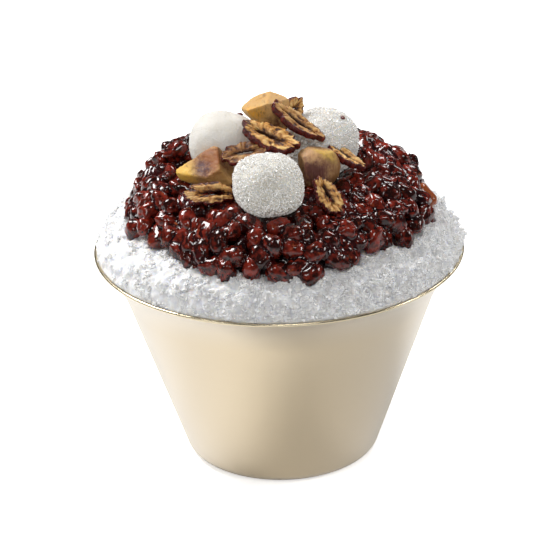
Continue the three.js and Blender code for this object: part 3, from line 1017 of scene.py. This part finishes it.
# The flesh round the slot is painted the same dark brown.
pith = jujube_finish.mix(in_slot, crease_shaded, CREASE_SHADE_AND_SLOT_BROWN)
peel = jujube_finish.mix(jujube_finish.noise(700, 3).within(0.4, 0.7), SKIN_RED, SKIN_BRIGHT)
is_skin = (reach + (spongy - 0.5) * 0.2).within(SKIN_FROM, SKIN_FROM + 0.05)
slices = []
for name, sizes in JUJUBES.items():
    slice_mesh = mesh_of(name + "_slice", jujube_slice(**sizes))
    dried = piece_of(name + "_slice", slice_mesh)
    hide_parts(name)
    slices.append(dried)
jujube_finish.cover(
    slices,
    {
        "Base Color": jujube_finish.mix(is_skin, pith, peel),
        "Roughness": 0.45 - 0.2 * is_skin,
        "Subsurface Weight": 0.1,
        "Subsurface Scale": 1 * MM,
        "Subsurface Radius": (1, 0.5, 0.2),
    },
    relief=spongy,
    depth=0.4 * MM,
)


# Two crumbs of jujube skin have dropped on the rice cakes at the back. Each is a flat curled chip
# that is let down onto the surface under it.
CRUMBS = [
    {"over": (26.5, 3), "size": (1.5, 0.9, 0.5)},
    {"over": (-14.5, 9.5), "size": (1.2, 0.8, 0.5)},
]
CRUMBS_FALL_FROM = 200
cakes = [bpy.data.objects[name + "_dough"] for name in RICE_CAKES]
chips = []
for number, crumb in enumerate(CRUMBS):
    above = Vector((*crumb["over"], CRUMBS_FALL_FROM)) * MM
    landings = [cake.ray_cast(above, (0, 0, -1)) for cake in cakes]
    spot, out = max(((hit[1], hit[2]) for hit in landings if hit[0]), key=lambda pair: pair[0].z)
    chip = bmesh.new()
    bmesh.ops.create_icosphere(chip, subdivisions=3, radius=1)
    for vert in chip.verts:
        rough = 1 + 0.5 * noise.noise(vert.co * 1.7 + Vector((number, 2 * number, 5)))
        vert.co = Vector([c * rough * half * MM for c, half in zip(vert.co, crumb["size"])])
    lie = out.to_track_quat("Z", "Y").to_matrix().to_4x4()
    chip.transform(Matrix.Translation(spot + out * crumb["size"][2] * 0.5 * MM) @ lie)
    name = f"jujube_crumb_{number}"
    chips.append(piece_of(name, mesh_of(name, chip)))
crumb_finish = Finish("jujube_crumb")
shreds = crumb_finish.noise(900, 3)
crumb_finish.cover(
    chips,
    {"Base Color": crumb_finish.mix(shreds, SKIN_RED, SKIN_BRIGHT), "Roughness": 0.3},
    relief=shreds,
    depth=0.2 * MM,
)


# The stage is a plain white table under soft studio light, with a long lens that looks down on the
# bowl from in front.
FLOOR_HALF = 3
LOOK_AT = Vector((0.1, 0, 73.3)) * MM
CAMERA_DISTANCE = 1.2
CAMERA_ELEVATION = math.radians(24.74)
CAMERA_ROLL = math.radians(-1.2)
CAMERA_LENS = 188.7
CAMERA_SENSOR = 36
LIGHTS = {
    "key": {"at": (-0.6, 0.42, 0.95), "size": (0.5, 0.4), "power": 13.4},
    "back": {"at": (0.45, 0.75, 0.8), "size": (0.4, 0.3), "power": 3.2},
    "front": {"at": (0.1, -0.75, 1.15), "size": (0.45, 0.22), "power": 4.2},
    "right": {"at": (1.05, -0.1, 0.65), "size": (0.3, 0.25), "power": 3.2},
    "left": {"at": (-0.75, -0.85, 0.7), "size": (0.25, 0.25), "power": 1.5},
}
WORLD_LIGHT = 0.06
TABLE_GLOW = 0.06
TABLE_GLOW_SEEN = 0.6

table = bmesh.new()
bmesh.ops.create_grid(table, x_segments=1, y_segments=1, size=FLOOR_HALF)
floor = bpy.data.objects.new("table_top", mesh_of("table_top", table))
bpy.context.scene.collection.objects.link(floor)
white = Finish("white_table")
seen = white.node("LightPath", output="Is Camera Ray")
white.cover(
    [floor],
    {
        "Base Color": (0.95, 0.95, 0.95),
        "Roughness": 0.6,
        "Emission Color": white.mix(seen, [TABLE_GLOW] * 3, [TABLE_GLOW_SEEN] * 3),
        "Emission Strength": 1,
    },
)

for name, light in LIGHTS.items():
    lamp = bpy.data.lights.new(name, "AREA")
    lamp.shape = "RECTANGLE"
    lamp.size, lamp.size_y = light["size"]
    lamp.energy = light["power"]
    stand = bpy.data.objects.new(name, lamp)
    stand.location = light["at"]
    stand.rotation_euler = (LOOK_AT - stand.location).to_track_quat("-Z", "Y").to_euler()
    bpy.context.scene.collection.objects.link(stand)

world = bpy.data.worlds.new("studio")
world.use_nodes = True
world.node_tree.nodes["Background"].inputs["Color"].default_value = (1, 1, 1, 1)
world.node_tree.nodes["Background"].inputs["Strength"].default_value = WORLD_LIGHT
bpy.context.scene.world = world
bpy.context.scene.view_settings.view_transform = "Standard"

ahead = Vector((0, math.cos(CAMERA_ELEVATION), -math.sin(CAMERA_ELEVATION)))
level_up = Vector((0, math.sin(CAMERA_ELEVATION), math.cos(CAMERA_ELEVATION)))
level_right = Vector((1, 0, 0))
right = level_right * math.cos(CAMERA_ROLL) + level_up * math.sin(CAMERA_ROLL)
up = level_up * math.cos(CAMERA_ROLL) - level_right * math.sin(CAMERA_ROLL)
lens = bpy.data.cameras.new("camera")
lens.lens = CAMERA_LENS
lens.sensor_width = CAMERA_SENSOR
camera = bpy.data.objects.new("camera", lens)
facing = Matrix((right, up, -ahead)).transposed().to_4x4()
camera.matrix_world = Matrix.Translation(LOOK_AT - ahead * CAMERA_DISTANCE) @ facing
bpy.context.scene.collection.objects.link(camera)
bpy.context.scene.camera = camera
